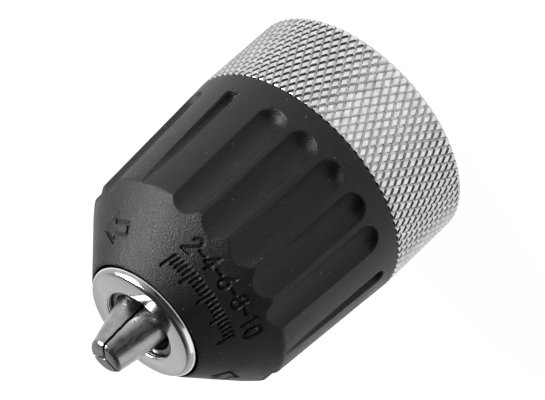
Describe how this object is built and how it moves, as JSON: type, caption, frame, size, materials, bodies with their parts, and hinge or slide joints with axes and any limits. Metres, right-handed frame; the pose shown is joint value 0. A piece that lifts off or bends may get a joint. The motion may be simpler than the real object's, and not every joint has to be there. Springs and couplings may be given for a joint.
{
  "type": "drill chuck",
  "caption": "Keyless two-sleeve drill chuck: fluted front sleeve, knurled rear ring, polished nose and self-centring tapered jaws moved by a split nut.",
  "frame": {"origin": "centre of the spindle end face, on the axis of rotation", "axes": "+Z along the axis of rotation from the spindle end to the jaws, -Y through the middle of one group of grip flutes"},
  "size_m": [0.043, 0.043, 0.0609],
  "materials": {
    "body_steel": "turned steel",
    "ring_steel": "bright plated, diamond knurled",
    "polished_steel": "polished",
    "black_plastic": "fine grained moulding",
    "jaw_steel": "hardened and ground",
    "nut_steel": "oiled",
    "bearing_steel": "polished",
    "cage_brass": "pressed sheet"
  },
  "bodies": {
    "body": {"chuck_body": "body_steel", "rear_ring": "ring_steel", "nose_cap": "polished_steel", "rear_race": "bearing_steel"},
    "sleeve": {"front_sleeve": "black_plastic", "nut_shell": "nut_steel", "nut_half_a": "nut_steel", "nut_half_b": "nut_steel", "front_race": "bearing_steel"},
    "bearing": {"ball_cage": "cage_brass", "ball_01": "bearing_steel", "ball_02": "bearing_steel", "ball_03": "bearing_steel", "ball_04": "bearing_steel", "ball_05": "bearing_steel", "ball_06": "bearing_steel", "ball_07": "bearing_steel", "ball_08": "bearing_steel", "ball_09": "bearing_steel", "ball_10": "bearing_steel", "ball_11": "bearing_steel", "ball_12": "bearing_steel", "ball_13": "bearing_steel", "ball_14": "bearing_steel", "ball_15": "bearing_steel", "ball_16": "bearing_steel", "ball_17": "bearing_steel", "ball_18": "bearing_steel"},
    "jaw_1": {"jaw_1": "jaw_steel"},
    "jaw_2": {"jaw_2": "jaw_steel"},
    "jaw_3": {"jaw_3": "jaw_steel"}
  },
  "joints": [
    {"name": "sleeve_turn", "type": "hinge", "parent": "body", "child": "sleeve", "pos_m": [0, 0, 0.03], "axis": [0, 0, 1], "range_deg": [0, 3132]},
    {"name": "bearing_roll", "type": "hinge", "parent": "body", "child": "bearing", "pos_m": [0, 0, 0.0254], "axis": [0, 0, 1], "range_deg": [0, 1566.1]},
    {"name": "jaw_1_slide", "type": "slide", "parent": "body", "child": "jaw_1", "axis": [0.2651, 0.034, -0.9636], "range_m": [0, 0.0174]},
    {"name": "jaw_2_slide", "type": "slide", "parent": "body", "child": "jaw_2", "axis": [-0.1619, 0.2126, -0.9636], "range_m": [0, 0.0174]},
    {"name": "jaw_3_slide", "type": "slide", "parent": "body", "child": "jaw_3", "axis": [-0.1031, -0.2465, -0.9636], "range_m": [0, 0.0174]}
  ],
  "couplings": [
    {"joint": "bearing_roll", "follows": "sleeve_turn", "ratio": 0.5},
    {"joint": "jaw_1_slide", "follows": "sleeve_turn", "m_per_rad": 0.00031831},
    {"joint": "jaw_2_slide", "follows": "sleeve_turn", "m_per_rad": 0.00031831},
    {"joint": "jaw_3_slide", "follows": "sleeve_turn", "m_per_rad": 0.00031831}
  ]
}
